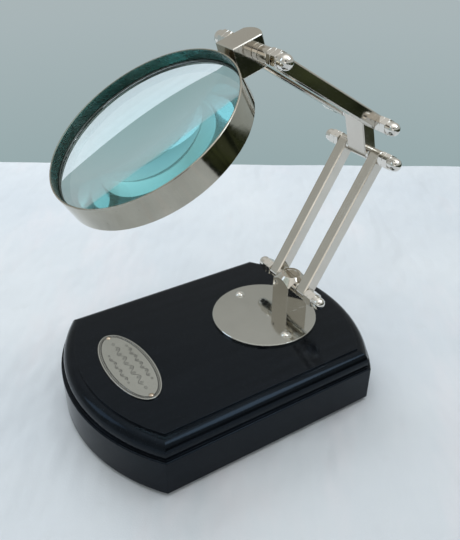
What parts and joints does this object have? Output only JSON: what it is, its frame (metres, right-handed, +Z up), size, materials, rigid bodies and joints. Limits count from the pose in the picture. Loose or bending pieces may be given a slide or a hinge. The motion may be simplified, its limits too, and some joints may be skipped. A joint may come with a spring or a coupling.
{
  "type": "magnifying glass",
  "caption": "Desk magnifier: round lens in a nickel ring on a jointed double-bar arm over a black moulded wooden base with an oval nameplate.",
  "frame": {"origin": "centre of the base's underside", "axes": "+Z up, -Y towards the reader, +X to the reader's right; every hinge pin lies along X"},
  "size_m": [0.127, 0.1934, 0.2032],
  "materials": {
    "lacquered_wood": "glossy black lacquer over wood",
    "felt": "black wool felt",
    "plate_nickel": "satin nickel plate",
    "satin_nickel": "polished nickel with fine hand-finishing marks",
    "polished_nickel": "bright polished nickel",
    "ring_nickel": "bright polished nickel band",
    "nameplate_metal": "satin, engraved border",
    "zinc_steel": "zinc-plated steel",
    "black_steel": "blackened spring steel",
    "lens_glass": "clear polished glass with a green edge"
  },
  "bodies": {
    "base": {"base_felt": "felt", "base_block": "lacquered_wood", "mounting_plate": "plate_nickel", "plate_screw_right": "polished_nickel", "plate_screw_left": "polished_nickel", "nameplate": "nameplate_metal", "nameplate_pin_right": "nameplate_metal", "nameplate_pin_left": "nameplate_metal", "post": "satin_nickel", "post_clamp_screw": "polished_nickel", "post_set_screw": "zinc_steel", "post_bolt": "zinc_steel", "post_bolt_washer": "zinc_steel", "post_rod": "zinc_steel", "post_washer_right": "polished_nickel", "post_washer_left": "polished_nickel", "post_jam_nut_right": "polished_nickel", "post_jam_nut_left": "polished_nickel", "post_acorn_nut_right": "polished_nickel", "post_acorn_nut_left": "polished_nickel"},
    "lower_arms": {"lower_arm_right": "satin_nickel", "lower_arm_left": "satin_nickel"},
    "elbow": {"elbow_block": "satin_nickel", "elbow_lower_rod": "zinc_steel", "elbow_lower_washer_right": "polished_nickel", "elbow_lower_washer_left": "polished_nickel", "elbow_lower_jam_nut_right": "polished_nickel", "elbow_lower_jam_nut_left": "polished_nickel", "elbow_lower_acorn_nut_right": "polished_nickel", "elbow_lower_acorn_nut_left": "polished_nickel", "elbow_upper_rod": "zinc_steel", "elbow_upper_washer_right": "polished_nickel", "elbow_upper_washer_left": "polished_nickel", "elbow_upper_jam_nut_right": "polished_nickel", "elbow_upper_jam_nut_left": "polished_nickel", "elbow_upper_acorn_nut_right": "polished_nickel", "elbow_upper_acorn_nut_left": "polished_nickel"},
    "upper_arms": {"upper_arm_right": "satin_nickel", "upper_arm_left": "satin_nickel"},
    "head": {"head_block": "satin_nickel", "head_rod": "zinc_steel", "head_washer_right": "polished_nickel", "head_washer_left": "polished_nickel", "head_jam_nut_right": "polished_nickel", "head_jam_nut_left": "polished_nickel", "head_acorn_nut_right": "polished_nickel", "head_acorn_nut_left": "polished_nickel", "lens_ring": "ring_nickel", "lens": "lens_glass", "front_snap_ring": "black_steel", "rear_snap_ring": "black_steel"}
  },
  "joints": [
    {"name": "post_hinge", "type": "hinge", "parent": "base", "child": "lower_arms", "pos_m": [0, 0.0542, 0.0508], "axis": [1, 0, 0], "range_deg": [-30, 15]},
    {"name": "elbow_lower_hinge", "type": "hinge", "parent": "lower_arms", "child": "elbow", "pos_m": [0, 0.10019, 0.12735], "axis": [-1, 0, 0], "range_deg": [-10, 45]},
    {"name": "elbow_upper_hinge", "type": "hinge", "parent": "elbow", "child": "upper_arms", "pos_m": [0, 0.09478, 0.14888], "axis": [-1, 0, 0], "range_deg": [-8, 60]},
    {"name": "lens_hinge", "type": "hinge", "parent": "upper_arms", "child": "head", "pos_m": [0, 0.02095, 0.19394], "axis": [-1, 0, 0], "range_deg": [-15, 75]}
  ]
}
